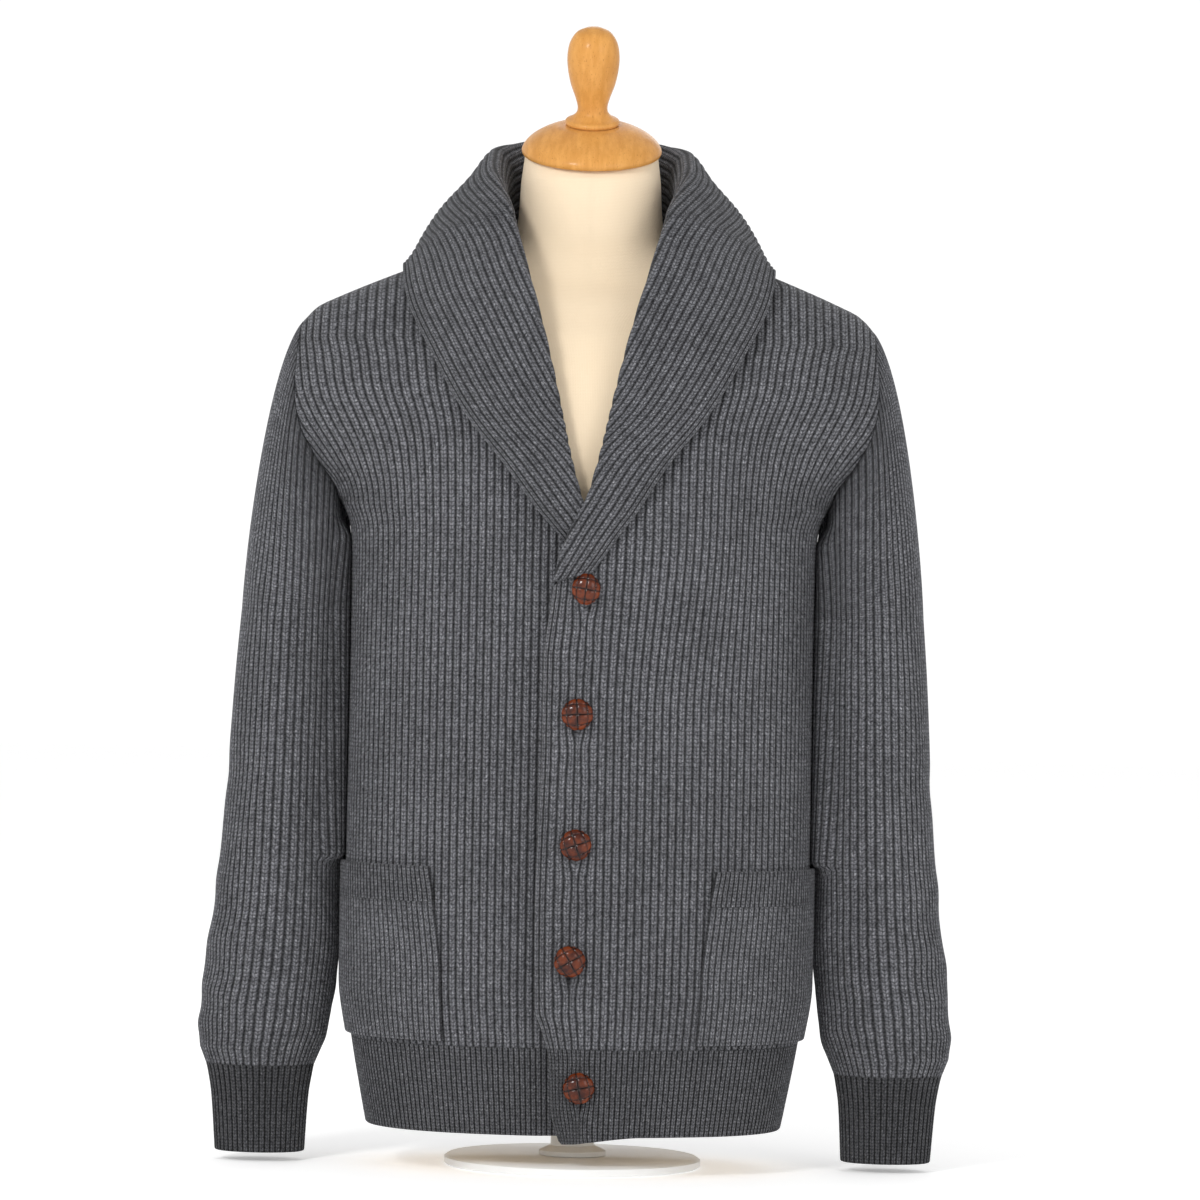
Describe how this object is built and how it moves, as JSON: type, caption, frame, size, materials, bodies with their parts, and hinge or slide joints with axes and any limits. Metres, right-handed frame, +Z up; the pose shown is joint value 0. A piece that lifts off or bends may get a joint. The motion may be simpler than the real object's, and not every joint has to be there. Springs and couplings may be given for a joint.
{
  "type": "shawl collar cardigan on a limbless dress form",
  "caption": "Chunky ribbed knit cardigan with a shawl collar, patch pockets and domed buttons, standing on a limbless dress form with a turned neck cap.",
  "frame": {"origin": "centre of the underside of the dress form's base, on the floor", "axes": "+Z up; the buttoned front faces -Y; +X is the wearer's left"},
  "size_m": [0.5834, 0.2679, 0.8854],
  "materials": {
    "charcoal_wool": "marled charcoal wool in chunky rib knit",
    "charcoal_wool_fine_rib": "marled charcoal wool in fine rib knit",
    "brown_leather": "glossy woven brown leather",
    "cream_cloth": "smooth cream cloth over the form",
    "turned_beech": "honey-coloured varnished turned beech",
    "white_paint": "white powder coat"
  },
  "bodies": {
    "root": {"front_left": "charcoal_wool", "front_right": "charcoal_wool", "back": "charcoal_wool", "sleeve_left": "charcoal_wool", "sleeve_right": "charcoal_wool", "collar": "charcoal_wool", "pocket_left": "charcoal_wool", "pocket_right": "charcoal_wool", "pocket_band_left": "charcoal_wool_fine_rib", "pocket_band_right": "charcoal_wool_fine_rib", "hem_front_left": "charcoal_wool_fine_rib", "hem_front_right": "charcoal_wool_fine_rib", "hem_back": "charcoal_wool_fine_rib", "cuff_left": "charcoal_wool_fine_rib", "cuff_right": "charcoal_wool_fine_rib", "button_1": "brown_leather", "button_2": "brown_leather", "button_3": "brown_leather", "button_4": "brown_leather", "button_5": "brown_leather", "form_torso": "cream_cloth", "form_neck_cap": "turned_beech", "form_finial": "turned_beech", "form_post": "white_paint", "form_base": "white_paint"}
  },
  "joints": []
}
